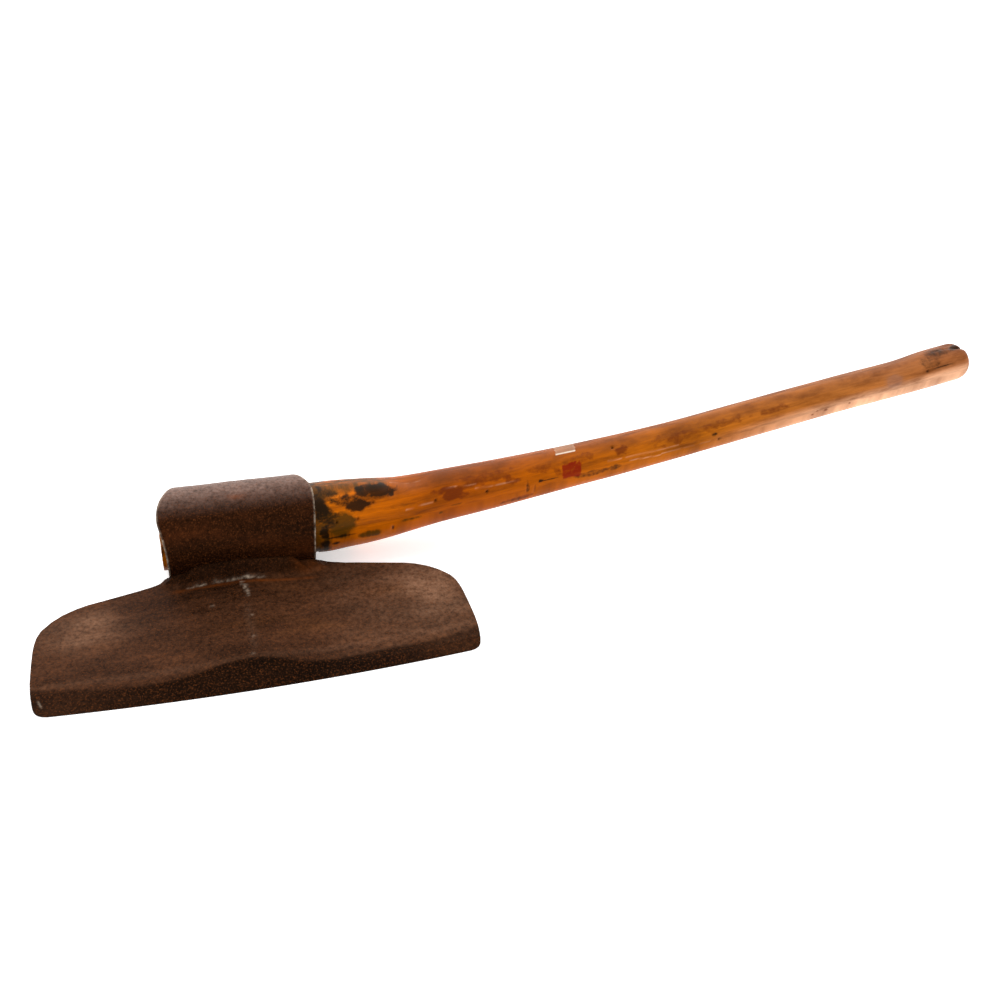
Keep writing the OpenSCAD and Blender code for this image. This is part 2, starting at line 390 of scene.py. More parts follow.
def blade_tone(x, y, z):
    """Tan on the wings from handling and painted sheen, orange along the weld, bare metal on its bead,
    and darkness: the bevel's finish with painted shade, painted shade on the filled weld and mid-face."""
    front = z > 2.6 and y > plate_front(x) + 1
    # the wings lighter, from handling and a painted sheen
    left_wing = bell(x, -118, 26) * bell(y, -66, 20)
    right_wing = bell(x, 128, 24) * bell(y, -70, 34)
    handling_and_painted_light = 0.55 * left_wing + 0.6 * right_wing + 0.14 * fade(x, 30, 75)
    tan_and_sheen = handling_and_painted_light * (0.8 + 0.5 * rough(x * 0.5, y, 0, 12, 4)) + 0.10 * bell(y, cutting_edge(x) + 24, 3.0)
    below_weld = stretch(x, -60, -50, 40, 52) * bell(y, -40 - 0.02 * x, 1.7)
    near_heel = stretch(x, 25, 40, 50, 62) * bell(y, -31, 3.5)
    orange = 0.9 * max(below_weld, near_heel) * (0.5 + 0.6 * rough(x * 0.4, y, 2, 6))
    fillet, scar = weld_relief(x, y)
    bead = 0.9 * scar * fade(z, ridge_t + 3.0, ridge_t + 1.4)
    dots = 0.27 * sum(bell(x, dot_x, dot_r) * bell(y, dot_y, dot_r) for dot_x, dot_y in bright_dots)
    scratch = 0.5 * stretch(y, -137, -134, -131, -129) * bell(x, -144.6 - 0.4 * (y + 133), 0.6)
    band = 0.025 * stretch(y, -122, -112, -75, -60) * bell(x, -6, 3)
    # painted shade over the middle of the face
    middle = 0.42 * bell(x, -12, 46) + 0.30 * rough(x * 0.5, y, 1, 20)
    # how dark: the bevel (darker finish and painted shade), the weld fillet and the middle (painted shade)
    dark_bevel_and_shade = max(fade(plate_height(x, y) - bevel_height(x, y), -0.1, 1.1),
                 0.72 * fade(fillet, 0.2, 4.0) * (y > -40), middle * front)
    # the painted shade eased off towards both ends of the blade
    dark_bevel_and_shade *= 1 - 0.28 * fade(abs(x), 70, 140)
    bare = max(bead * (z > 6), dots * (z > 3), scratch * (z > 0.5), band * front)
    return clamp(tan_and_sheen * front), clamp(orange * (z > 3)), clamp(bare), dark_bevel_and_shade


paint(blade, "tone", blade_tone)
# the last colour is the wings' lighter colour, from handling and a painted sheen
plate_browns = ("#25150c", "#412718", "#56341d", "#815e48")
blade.data.materials.append(old_iron("Wrought iron, brown patina", *plate_browns, roughness=0.46, shine=0.02))
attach(blade, "root")
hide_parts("blade")


# ---------------------------------------------------------------------------
# The edge steel: a thin strip of harder steel forge-welded under the front of
# the plate and ground with it, so that only the steel meets the work.
# ---------------------------------------------------------------------------
def steel_roof(x, y):
    return min(face_height(x, y), steel_top)


edge_steel = wrought_plate("axe_edge_steel", columns=230, rows=34, near=lower_line, far=lambda x: steel_back,
                           floor_of=lambda x, y: 0.0, roof_of=steel_roof, row_bias=lambda share: share ** 1.7,
                           smooth_angle=40)
paint(edge_steel, "tone", blade_tone)
steel_skin = old_iron("Laid edge steel, dark patina", *plate_browns, roughness=0.46, shine=0.02)
edge_steel.data.materials.append(steel_skin)
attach(edge_steel, "root")
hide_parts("edge_steel")


# ---------------------------------------------------------------------------
# The socket: a strap of wrought iron bent round a mandrel into an eye, with its
# tail scarfed under the blade. Its ends are cut back towards the poll, and its
# corners are worn bright by handling.
# ---------------------------------------------------------------------------
wood_low, wood_high = (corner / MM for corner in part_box("handle"))
eye_r = 27.2
# where the two mouths lie: angle round the eye (0 faces the cutting edge, 90 is up), x
toe_end = [(-90, -57.2), (-41, -57.3), (0, -57.5), (28, -59.2), (48, -61.3), (66, -60.2), (82, -57.2),
           (97, -53.2), (121, -47.5), (150, -44), (180, -42.5), (215, -43.5), (252, -55), (270, -57.2)]
heel_end = [(-90, 50.4), (-55, 50.2), (-7, 49.4), (20, 50.2), (41, 51.2), (60, 51.8), (72, 51.6), (82, 50.2),
            (92, 47.9), (110, 43.6), (122, 40), (150, 35.5), (180, 33.5), (215, 36), (252, 48), (270, 50.4)]


def eye_turn(y, z):
    """The angle round the eye, from -90 to 270."""
    turn = math.degrees(math.atan2(z - eye_z, -y))
    return turn + 360 if turn < -90 else turn


def cut_across(bm, spot, facing):
    """Adds the edges where a plane through the spot cuts the shape."""
    bmesh.ops.bisect_plane(bm, geom=bm.verts[:] + bm.edges[:] + bm.faces[:], plane_co=spot, plane_no=facing)


# the strap's section, on end: two rings, the outer one drawn down into the scarfed tail
bm = bmesh.new()
rings = [bmesh.ops.create_circle(bm, segments=144, radius=radius, cap_ends=False)["verts"]
         for radius in (socket_r, eye_r)]
bmesh.ops.rotate(bm, verts=bm.verts, matrix=Matrix(((0, 0, 1), (1, 0, 0), (0, 1, 0))))
bmesh.ops.translate(bm, verts=bm.verts, vec=(0, 0, eye_z))
crease = eye_turn(scarf_to, ridge_t)
for v in rings[0]:
    share = (crease - eye_turn(v.co.y, v.co.z)) / (crease + 90)
    if 0 <= share <= 0.5:
        v.co.y = scarf_to + (scarf_from - scarf_to) * 2 * share
        v.co.z = ridge_t * (1 - 2 * share)
    elif 0.5 < share <= 1:
        v.co.y = scarf_from * (2 - 2 * share)
        v.co.z = 0.0
    v.co.z = max(v.co.z, 0.0)
bmesh.ops.bridge_loops(bm, edges=bm.edges[:])
# drawn out one unit long, cut across more closely at both mouths, then set to its length
draw_out(bm, (1, 0, 0))
for cut in [0.014, 0.034, *[0.06 + 0.88 * k / 30 for k in range(31)], 0.966, 0.986]:
    cut_across(bm, (cut, 0, 0), (1, 0, 0))
strap_long, hammered_in = 110, 0.22
for v in bm.verts:
    turn, share = eye_turn(v.co.y, v.co.z), v.co.x
    start, end = curve(toe_end, turn), curve(heel_end, turn)
    away = Vector((0, v.co.y, v.co.z - eye_z))
    if away.length > eye_r + 1 and v.co.z > 1.0:
        broad = 0.20 * rough(share * strap_long, v.co.y, v.co.z, 26)
        fine = 0.10 * rough(share * strap_long, v.co.y, v.co.z, 9)
        v.co += away.normalized() * (broad + fine - hammered_in)
    v.co.x = start + share * (end - start)
bmesh.ops.recalc_face_normals(bm, faces=bm.faces)
mouth = [e for e in sharp_edges(bm, 1.05) if abs(e.verts[0].co.x - e.verts[1].co.x) < 1.2]
bmesh.ops.bevel(bm, geom=mouth, offset=0.8, affect="EDGES", segments=3, profile=0.5, material=-1,
                clamp_overlap=True)
socket = piece_from(bm, "axe_socket", 50)


def socket_tone(x, y, z):
    """Painted grey sheen on top, bright on the worn corners of both mouths, painted shade low in front."""
    turn, out_from_eye = eye_turn(y, z), math.hypot(y, z - eye_z)
    if out_from_eye <= eye_r + 3.5:
        return 0.0, 0.0, 0.0, 0.0
    rim = min(x - curve(toe_end, turn), curve(heel_end, turn) - x)
    bright = (0.75 + 0.5 * rough(x, y, z, 6)) * fade(rim, 1.1, 0.4) * (-60 < turn < 175)
    bright *= fade(out_from_eye, socket_r - 2.0, socket_r - 0.8)
    # painted grey sheen along the top and on over the back
    tan_and_sheen = 0.9 * stretch(turn, 46, 104, 120, 175) * (0.9 + 0.25 * rough(x * 0.5, y, z, 8, 4))
    orange = 0.6 * fade(turn, -30, -41) * fade(x, 20, 35) * (0.6 + 0.5 * rough(x * 0.4, y, z, 6))
    rusty_patch = 0.45 * bell(x, -4, 6) * bell(turn, 72, 5)
    shaded = 0.45 * fade(turn, 8, -30) * fade(x, 40, 15)
    return clamp(tan_and_sheen), clamp(max(orange, rusty_patch)), bright, shaded


paint(socket, "tone", socket_tone)
# the last colour is the painted grey sheen along the socket's top
strap_browns = ("#130702", "#251005", "#401e0b", "#786056")
socket.data.materials.append(old_iron("Strap iron, dark patina", *strap_browns, roughness=0.40, shine=0.045))
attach(socket, "root")
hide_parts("socket")


# ---------------------------------------------------------------------------
# The handle: one length of hardwood shaved with a drawknife, swept up so that the
# knuckles clear the log, split by a saw kerf at the toe end, then oiled and varnished.
# Stains, worm holes, a chipped butt, clear tape and a red price mark came with use.
# ---------------------------------------------------------------------------
neck_x, grip_end = 52.5, wood_high.x
grip_rise = 80.0
root_half = -wood_low.y
grip_half_w, grip_half_h = 17.6, 14.0
# from the neck to the butt, in hundredths: way along, rise of the shaft's centre
bend = [(0, -1.5), (3, -0.5), (7.5, 0.5), (12, 1.5), (18, 6.5), (26.5, 13.5), (35.5, 21.5), (44.5, 30),
        (54, 40.5), (66, 56), (79, 72.5), (89, 84), (94, 91.5), (100, 99.5)]
# the same way along, and how much of the root's extra thickness is left
taper = [(0, 98), (3, 93), (7.5, 78), (12, 59), (18, 44), (26.5, 30), (35.5, 17), (44.5, 9), (54, 3),
         (66, 2), (79, 1), (89, 0), (94, 8), (100, 7)]
butt_round = 9.0
kerf_end = -1.5
kerf_half = 3.55
kerf_root_half = 0.785
toe_lean = 4.5
# dents and bumps: middle x, angle round the shaft (0 faces the edge, 90 is up), half length,
# half width, height
relief = [(128, 86, 14, 9, -2.4), (100, 74, 12, 8, 1.6), (62, -70, 10, 14, 1.0), (111, 60, 3, 4, -0.9),
          (218, 6, 1.6, 7, -0.8), (224, -6, 1.4, 6, -0.7), (110, -14, 1.6, 3.5, -0.8), (150, 40, 9, 6, -0.4),
          (603, 88, 7, 3.0, -3.4), (596, 108, 9, 4, -1.8), (590, 97, 5, 1.6, -1.6), (344, 60, 20, 5, -0.35),
          (430, 20, 30, 5, -0.3), (300, 190, 30, 8, -0.5), (160, 200, 12, 6, -0.8), (470, 150, 24, 5, -0.4),
          (92, -52, 32, 18, 1.7), (190, -52, 60, 15, 1.0), (300, -55, 60, 12, 0.6)]
# worm holes: x, angle
holes = [(67, 19), (83, 19), (96, 44), (144, 27), (185, 21), (380, 3), (291, 62), (566, 33), (210, 170),
         (120, 215), (410, 200)]
hole_deep = 2.4
# drying checks along the grain: from x, to x, angle, depth
checks = [(292, 372, 14, 0.35), (392, 488, 7, 0.35), (500, 560, 3, 0.25), (566, 592, 34, 0.9),
          (120, 205, 150, 0.5), (330, 470, 196, 0.5), (60, 130, 262, 0.5), (575, 607, 92, 1.0)]


def shaft(x):
    """Centre height and half sizes of the wood at x, as the pattern was cut."""
    way = (x - neck_x) / (grip_end - neck_x) * 100
    swell = curve(taper, way) / 100
    if x < neck_x:
        return eye_z + grip_rise * bend[0][1] / 100 * fade(x, 0, neck_x), root_half, root_half
    return (eye_z + grip_rise * curve(bend, way) / 100, grip_half_w + (root_half - grip_half_w) * swell,
            grip_half_h + (root_half - grip_half_h) * swell)


def toe_leaning(z):
    """How far in the toe end slopes at that height, its top half trimmed back."""
    return toe_lean * fade(z, 30, 60)


def turn_gap(a, b):
    """From one angle to another the short way round, in degrees."""
    return (a - b + 180) % 360 - 180


def arc(turn, at, around):
    """The way round the shaft from one angle to another, in mm, where around is its radius."""
    return math.radians(turn_gap(turn, at)) * around


def hole_shape(x, turn, around, radius):
    """1 in the middle of a worm hole, 0 away from them all."""
    return sum(bell(x, hole_x, radius) * bell(arc(turn, hole_turn, around), 0, radius)
               for hole_x, hole_turn in holes if abs(x - hole_x) < 4)


def check_depth(x, turn, around, half_wide):
    """How deep the drying checks are, in mm. They wander a little off the grain."""
    return sum(depth * stretch(x, from_x, from_x + 8, to_x - 8, to_x)
               * bell(arc(turn, at + 1.5 * rough(x, 0, at, 22), around), 0, half_wide)
               for from_x, to_x, at, depth in checks)


def wood_relief(x, turn, around):
    """How far the worn surface stands off the pattern at that point, in mm."""
    off = -0.25
    if x > neck_x + 1:
        aside, up = math.cos(math.radians(turn)), math.sin(math.radians(turn))
        off += 0.20 * rough(x * 0.25, aside * 16, up * 16, 15)
        off += 0.05 * rough(x * 0.08, aside * around, up * around, 2.2)
        for middle_x, at, half_long, half_wide, height in relief:
            gap = arc(turn, at, around)
            if abs(x - middle_x) < 3 * half_long and abs(gap) < 3 * half_wide:
                off += height * bell(x, middle_x, half_long) * bell(gap, 0, half_wide)
        off -= check_depth(x, turn, around, 0.6) + hole_deep * hole_shape(x, turn, around, 0.922)
    return off


# a sheet rolled up round the shaft, its two long edges merged under it
bm = bmesh.new()
along_count, around_count = 610, 108
bmesh.ops.create_grid(bm, x_segments=along_count, y_segments=around_count, size=1.0)
half_step = math.pi / around_count
straight = 0.975
last_roll = math.radians(80)
for v in bm.verts:
    share, angle = (v.co.x + 1) / 2, math.pi * (v.co.y + 1) + half_step
    if share < straight:
        x, shrink = kerf_end + (grip_end - butt_round - kerf_end) * share / straight, 0.0
    else:
        roll = last_roll * (share - straight) / (1 - straight)
        x = grip_end - butt_round * (1 - math.sin(roll) / math.sin(last_roll))
        shrink = butt_round * (1 - math.cos(roll)) * 0.85
    centre, half_w, half_h = shaft(x)
    off = wood_relief(x, math.degrees(angle), (half_w + half_h) / 2) * fade(x, neck_x - 6, neck_x + 2)
    v.co = (x, -(half_w - shrink + off) * math.cos(angle), centre + (half_h - shrink + off) * math.sin(angle))
bmesh.ops.remove_doubles(bm, verts=bm.verts, dist=0.0005)

# the butt: the last ring is closed, and the closing face drawn in
butt_edges = [e for e in bm.edges if e.is_boundary and e.verts[0].co.x > neck_x]
butt = bmesh.ops.contextual_create(bm, geom=butt_edges)["faces"]
bmesh.ops.inset_region(bm, faces=butt, thickness=0.4, depth=0.0)
bmesh.ops.poke(bm, faces=butt)
# the toe: the first ring is closed, split at the kerf, and both halves drawn out past the socket
toe_edges = [e for e in bm.edges if e.is_boundary and e.verts[0].co.x < neck_x]
bmesh.ops.contextual_create(bm, geom=toe_edges)
toe_ring = sorted({v for e in toe_edges for v in e.verts}, key=lambda v: abs(v.co.y))[:4]
for side in (1, -1):
    bmesh.ops.connect_verts(bm, verts=[v for v in toe_ring if v.co.y * side > 0])
cheeks = [f for f in bm.faces if all(abs(v.co.x - kerf_end) < 0.01 for v in f.verts)
          and abs(f.calc_center_median().y) > 2]
toe_reach = wood_low.x - kerf_end
# drawn out in six steps, the last ones short, so that the end stays crisp
for share in (0.2, 0.2, 0.2, 0.2, 0.14, 0.06):
    cheeks = bmesh.ops.extrude_discrete_faces(bm, faces=cheeks)["faces"]
    for face in cheeks:
        side = 1 if face.calc_center_median().y > 0 else -1
        flat = sorted(face.verts, key=lambda v: abs(v.co.y))[:2]
        for v in face.verts:
            v.co.x += (toe_reach + toe_leaning(v.co.z)) * share
        for v in flat:
            v.co.y = side * (kerf_root_half + (kerf_half - kerf_root_half) * (v.co.x - kerf_end) / toe_reach)
bmesh.ops.recalc_face_normals(bm, faces=bm.faces)
handle = piece_from(bm, "axe_handle", 55)

# stains: middle x, angle, half length, half width round the shaft, strength
soot = [(-60, 6, 3, 5, 0.9), (-57, 30, 2, 8, 0.7), (74, 54, 12, 5, 0.75), (62, 24, 5, 8, 0.7),
        (98, 68, 17, 6.5, 1.0), (84, 42, 9, 4.5, 1.0), (56, 48, 6, 13, 0.9), (57, 2, 4, 5, 1.0),
        (57, -20, 5, 4, 1.0), (66, -22, 4, 2, 0.9), (70, -8, 11, 1.3, 0.9), (62, 66, 9, 7, 0.6),
        (93, 56, 20, 3, 0.7), (275, 2, 20, 2.6, 0.62), (290, 4, 9, 3, 0.6), (236, 15, 9, 1.0, 0.8),
        (229, 17, 2.5, 1.6, 0.9), (376, 22, 3, 1.8, 0.7), (111, 60, 2.5, 3, 1.0), (588, 88, 20, 6, 0.55),
        (570, 60, 10, 6, 0.45), (600, 92, 8, 5, 0.8), (218, 6, 1.6, 6, 0.7), (224, -6, 1.2, 5, 0.5),
        (110, -14, 1.2, 3, 0.8), (208, -24, 12, 2.5, 0.5), (68, 150, 14, 9, 0.8), (90, 200, 16, 6, 0.7),
        (240, 170, 18, 4, 0.5), (430, 160, 22, 3, 0.45), (70, 255, 16, 9, 0.8)]
olive = [(70, 12, 13, 11, 0.95), (92, -15, 10, 3.6, 0.9), (62, 80, 12, 14, 0.8), (125, 0, 10, 1.4, 0.7),
         (160, 8, 5, 1.3, 0.7), (148, -4, 2, 1.5, 0.8), (84, 92, 30, 13, 0.72), (118, 30, 16, 2, 0.35),
         (75, 180, 20, 16, 0.8), (70, 285, 16, 14, 0.8)]
ruddy = [(149, 44, 8, 3, 0.8), (159, 34, 8, 5, 0.95), (164, 26, 6, 3, 0.8), (174, 44, 14, 4, 0.6),
         (297, 46, 6, 4, 0.9), (197, 50, 12, 4, 0.6), (207, 32, 7, 3, 0.7), (232, 46, 12, 4, 0.6),
         (243, 30, 3, 4, 0.6), (212, -20, 13, 2.5, 0.7), (185, 58, 22, 4, 0.55), (262, 52, 14, 4, 0.55),
         (340, 44, 18, 5, 0.6), (385, 50, 22, 4, 0.55), (430, 46, 16, 3, 0.6), (462, -6, 2, 1.6, 0.9),
         (466, 3, 1.6, 1.4, 0.9), (474, -2, 2, 1.2, 0.8), (495, -1, 1.5, 1.3, 0.8), (320, 20, 14, 3, 0.3),
         (260, 190, 14, 6, 0.6), (520, 170, 20, 4, 0.5)]
dusky = [(590, 74, 30, 12, 0.75), (530, 80, 26, 6, 0.5)]
# pale scratches through the varnish: from x, to x, from angle, to angle
scratches = [(112, 136, 88, 84), (284, 300, 27, 25), (303, 330, 13, 4), (300, 345, 24, 22),
             (176, 212, 34, 30), (150, 178, 50, 44), (330, 372, 8, 6), (120, 142, 22, 26)]
tape_x, mark_x = 254, 254.5


def patches_at(patches, x, turn, around, ragged):
    """The strongest patch at that point, its rim pushed in and out by the raggedness."""
    most = 0.0
    for middle_x, at, half_long, half_wide, strength in patches:
        gap = arc(turn, at, around)
        if abs(x - middle_x) <= 2.2 * half_long and abs(gap) <= 2.2 * half_wide:
            out = math.hypot((x - middle_x) / half_long, gap / half_wide)
            most = max(most, strength * fade(out + ragged, 1.35, 0.6))
    return most


def wood_place(x, y, z):
    """The angle round the shaft, and the shaft's mean radius there."""
    centre, half_w, half_h = shaft(x)
    turn = math.degrees(math.atan2((z - centre) / half_h, -y / half_w))
    return turn, (half_w + half_h) / 2


def stain_at(x, y, z):
    """Soot, olive and ruddy stains; dusk on end grain and the grip's top, there grime with painted shade."""
    turn, around = wood_place(x, y, z)
    ragged = 0.42 * rough(x * 0.6, y, z, 5.0, 3)
    root = fade(x + 7 * rough(x * 0.3, y, z, 9), 70, 57) * fade(x, 10, 40)
    end_grain = 0.75 * max(fade(x, grip_end - 1.2, grip_end - 0.3), fade(x, wood_low.x + 6, wood_low.x))
    # darker along the top and back of the grip: handling grime with painted shade
    handling_and_painted_light = 0.78 * stretch(turn, 35, 80, 120, 178) * fade(x, 70, 170)
    handling_and_painted_light *= 0.9 + 0.5 * rough(x * 0.15, y, z, 8, 3)
    browned = patches_at(dusky, x, turn, around, ragged)
    black = max(patches_at(soot, x, turn, around, ragged), 0.8 * root * fade(rough(x, y, z, 6), -0.2, 0.4))
    green = max(patches_at(olive, x, turn, around, 0.6 * ragged), 0.9 * root)
    red = patches_at(ruddy, x, turn, around, 1.6 * ragged)
    return black, green, red, min(max(handling_and_painted_light, browned, end_grain), 1.0)


def wear_and_reflection_at(x, y, z):
    """Dark holes and checks, the clear tape, the paler lower side and scratches, the tape's rim.
    The lower side is worn and carries a painted reflection of the floor.
    """
    turn, around = wood_place(x, y, z)
    pit = hole_shape(x, turn, around, 1.049) + 0.8 * check_depth(x, turn, around, 0.7)
    # the lower side of the grip paler: worn, and lit by a painted reflection of the floor
    pale = stretch(turn_gap(turn, -40), -95, -60, 42, 72) * stretch(x, 350, 520, 600, 607)
    from_tape = abs(x - tape_x - 0.06 * turn_gap(turn, 90))
    on_tape = 1.0 if from_tape < 8.0 and 76 < turn < 128 else 0.0
    tape_rim = max(0.08 * fade(from_tape, 6.8, 7.4), fade(turn, 80.5, 78.5), fade(turn, 124, 126))
    for from_x, to_x, from_turn, to_turn in scratches:
        share = (x - from_x) / (to_x - from_x)
        if 0 < share < 1:
            gap = arc(turn, from_turn + (to_turn - from_turn) * share, around)
            pale = max(pale, 0.4 * bell(gap, 0, 0.4) * fade(rough(x, 0, gap, 7), -0.6, 0.0))
    return min(pit, 1.0), on_tape, pale, on_tape * tape_rim


def mark_at(x, y, z):
    """The red price mark, a grey smudge near the butt, and a faint brown ring."""
    turn, around = wood_place(x, y, z)
    worn_rim = 0.9 * rough(x, y, z, 3.0)
    price_mark = (fade(abs(x - mark_x) + worn_rim, 8.2, 7.2)
                  * fade(abs(arc(turn, 25, around)) + worn_rim, 6.4, 5.6))
    smudge = bell(x, 536, 5) * bell(arc(turn, 32, around), 0, 4)
    ring = math.hypot((x - 353) / 10, arc(turn, 36, around) / 6.5)
    return price_mark, smudge, bell(ring, 1, 0.10), 1.0


def grain_at(x, y, z):
    """The place along and across the shaft with its sweep taken out, in metres."""
    return x * MM, y * MM, (z - shaft(x)[0]) * MM, 1.0


for layer, colour_at in (("grain", grain_at), ("stain", stain_at), ("wear_and_reflection", wear_and_reflection_at), ("mark", mark_at)):
    paint(handle, layer, colour_at)


def old_ash(name):
    """Ash or a like hardwood under old oil and varnish: an orange-brown shine over long
    fine grain, darker and redder near the head, honey-coloured low on the grip, where hands have
    worn it and a painted reflection of the floor lightens it."""
    made, tree = blank_material(name)
    where = add(tree, "ShaderNodeTexCoord").outputs["Object"]
    grain = add(tree, "ShaderNodeAttribute", attribute_name="grain").outputs["Vector"]
    # the grain drawn out three ways: about 22, 6 and 2 times as long as it is wide
    long_grain, short_grain, flecks = (
        add(tree, "ShaderNodeMapping", {"Vector": grain, "Scale": (squeeze, 1.0, 1.0)})
        for squeeze in (0.045, 0.16, 0.5))
    stain_layer = add(tree, "ShaderNodeAttribute", attribute_name="stain").outputs
    black, green, red = add(tree, "ShaderNodeSeparateColor", {0: stain_layer["Color"]}).outputs[:3]
    wear_and_reflection_layer = add(tree, "ShaderNodeAttribute", attribute_name="wear_and_reflection").outputs
    pit, tape, worn = add(tree, "ShaderNodeSeparateColor", {0: wear_and_reflection_layer["Color"]}).outputs[:3]
    mark_layer = add(tree, "ShaderNodeAttribute", attribute_name="mark").outputs
    price_mark, smudge, ring = add(tree, "ShaderNodeSeparateColor", {0: mark_layer["Color"]}).outputs[:3]
    # the colour along the shaft, from the toe end to the butt, paler along the lower side, which is
    # worn and carries a painted reflection of the floor
    along = add(tree, "ShaderNodeSeparateXYZ", {0: where}).outputs[0]
    length = add(tree, "ShaderNodeMapRange", {0: along, **limits(-0.06, 0.61, 0.0, 1.0)})
    body = add(tree, "ShaderNodeValToRGB", {0: length},
               ramp=[(0.0, "#b25f02"), (0.17, "#c66500"), (0.32, "#984600"), (0.45, "#a55100"),
                     (0.64, "#a65a0c"), (0.83, "#a8632a"), (1.0, "#9c5e36")])
    pale = add(tree, "ShaderNodeMix", {MASK: worn, UNDER: body, OVER: srgb("#e2aa84")}, **covered)
    # year rings seen along the shaft, bands about 4 mm wide and 90 mm long
    bands = add(tree, "ShaderNodeTexNoise",
                {"Vector": long_grain, "Scale": 250.0, "Detail": 4.0, "Roughness": 0.55})
    band_shade = add(tree, "ShaderNodeMapRange", {0: bands, **limits(0.3, 0.7, 0.80, 1.14)})
    banded = add(tree, "ShaderNodeMix", {MASK: 1.0, UNDER: pale, OVER: band_shade}, **multiplied)
    # open pores, 0.5 mm across and 10 mm long
    pores = add(tree, "ShaderNodeTexNoise",
                {"Vector": long_grain, "Scale": 1500.0, "Detail": 2.0, "Roughness": 0.6})
    pore_shade = add(tree, "ShaderNodeMapRange", {0: pores, **limits(0.34, 0.56, 0.84, 1.04)})
    pored = add(tree, "ShaderNodeMix", {MASK: 1.0, UNDER: banded, OVER: pore_shade}, **multiplied)
    # cloudy old varnish, patches of 10 to 30 mm, and laid through them the dusk of grime
    # and painted shade along the grip's top
    clouds = add(tree, "ShaderNodeTexNoise",
                 {"Vector": short_grain, "Scale": 150.0, "Detail": 5.0, "Roughness": 0.65})
    cloud_mask = add(tree, "ShaderNodeMapRange", {0: clouds, **limits(0.46, 0.72, 0.0, 0.8)})
    cloudy = add(tree, "ShaderNodeMix", {MASK: cloud_mask, UNDER: pored, OVER: srgb("#5e2a04")}, **covered)
    cloud_shade = add(tree, "ShaderNodeMapRange", {0: clouds, **limits(0.35, 0.65, 0.3, 0.85)})
    dusk = add(tree, "ShaderNodeMath", {0: stain_layer["Alpha"], 1: cloud_shade}, operation="MULTIPLY")
    coat = add(tree, "ShaderNodeMix", {MASK: dusk, UNDER: cloudy, OVER: srgb("#5f2c04")}, **covered)
    # stains soaked into the wood: flecks push their rims in and out
    blotch = add(tree, "ShaderNodeTexNoise",
                 {"Vector": flecks, "Scale": 380.0, "Detail": 5.0, "Roughness": 0.7})
    rim_noise = add(tree, "ShaderNodeMapRange", {0: blotch, **limits(0.3, 0.7, -0.28, 0.28)})
    for amount, colour, most in ((red, "#561a04", 0.72), (green, "#3a2904", 0.86), (black, "#140b04", 0.93)):
        uneven = add(tree, "ShaderNodeMath", {0: amount, 1: rim_noise}, operation="ADD")
        held = add(tree, "ShaderNodeMapRange", {0: uneven, **limits(0.28, 0.85, 0.0, most)})
        coat = add(tree, "ShaderNodeMix", {MASK: held, UNDER: coat, OVER: srgb(colour)}, **covered)
    # what lies on the surface or cuts through it, broken up by the same flecks
    broken = add(tree, "ShaderNodeMapRange", {0: blotch, **limits(0.32, 0.62, 0.45, 1.25)})
    for amount, colour, most in ((price_mark, "#740b02", 0.85), (smudge, "#6d6a6e", 0.2),
                                 (ring, "#6b3008", 0.2), (pit, "#0c0603", 0.96), (tape, "#c8b49b", 0.22),
                                 (wear_and_reflection_layer["Alpha"], "#e8dccb", 0.75)):
        uneven = add(tree, "ShaderNodeMath", {0: amount, 1: broken}, operation="MULTIPLY", use_clamp=True)
        held = add(tree, "ShaderNodeMath", {0: uneven, 1: most}, operation="MINIMUM")
        coat = add(tree, "ShaderNodeMix", {MASK: held, UNDER: coat, OVER: srgb(colour)}, **covered)
    gloss = add(tree, "ShaderNodeMapRange", {0: clouds, **limits(0.3, 0.75, 0.34, 0.52)})
    fibres = add(tree, "ShaderNodeBump", {"Height": pores, "Strength": 0.35, "Distance": 0.0002})
    waves = add(tree, "ShaderNodeBump",
                {"Height": bands, "Strength": 0.35, "Distance": 0.0006, "Normal": fibres})
    wood = add(tree, "ShaderNodeBsdfPrincipled",
               {"Base Color": coat, "Roughness": gloss, "Specular IOR Level": 0.06,
                "Specular Tint": srgb("#ffc890"), "Coat Weight": 0.05, "Coat Roughness": 0.22,
                "Normal": waves})
    add(tree, "ShaderNodeOutputMaterial", {0: wood})
    return made


handle.data.materials.append(old_ash("Ash, old oil and varnish"))
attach(handle, "root")
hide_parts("handle")


# ---------------------------------------------------------------------------
# The kerf wedge: a thin slip of split hardwood driven into the saw kerf from the
# toe end, left a little proud and bruised by the mallet.
# ---------------------------------------------------------------------------
wedge_low, wedge_high = (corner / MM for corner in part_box("kerf_wedge"))
wedge_tip_t, eye_gap = 1.5, 0.25
bruised_share = 0.04
bm = bmesh.new()
bmesh.ops.create_cube(bm, size=1.0)
bmesh.ops.scale(bm, vec=wedge_high - wedge_low, verts=bm.verts)
bmesh.ops.translate(bm, vec=(wedge_low + wedge_high) / 2, verts=bm.verts)
for axis, count in ((0, 14), (1, 6), (2, 26)):
    for k in range(1, count):
        spot, facing = Vector((0, 0, 0)), Vector((0, 0, 0))
        spot[axis] = wedge_low[axis] + (wedge_high[axis] - wedge_low[axis]) * k / count
        facing[axis] = 1.0
        cut_across(bm, spot, facing)
for v in bm.verts:
    deep = (v.co.x - wedge_low.x) / (wedge_high.x - wedge_low.x)
    v.co.y *= 1 - (1 - wedge_tip_t / (wedge_high.y - wedge_low.y)) * deep
    if deep < bruised_share:
        bruise = 0.35 + 0.45 * rough(0, v.co.y * 2.2, v.co.z, 5)
        v.co.x += bruise + toe_leaning(v.co.z)
        v.co.y *= 0.96
    rim = math.hypot(v.co.y, v.co.z - eye_z)
    if rim > eye_r - eye_gap:
        v.co.z = eye_z + (v.co.z - eye_z) * (eye_r - eye_gap) / rim
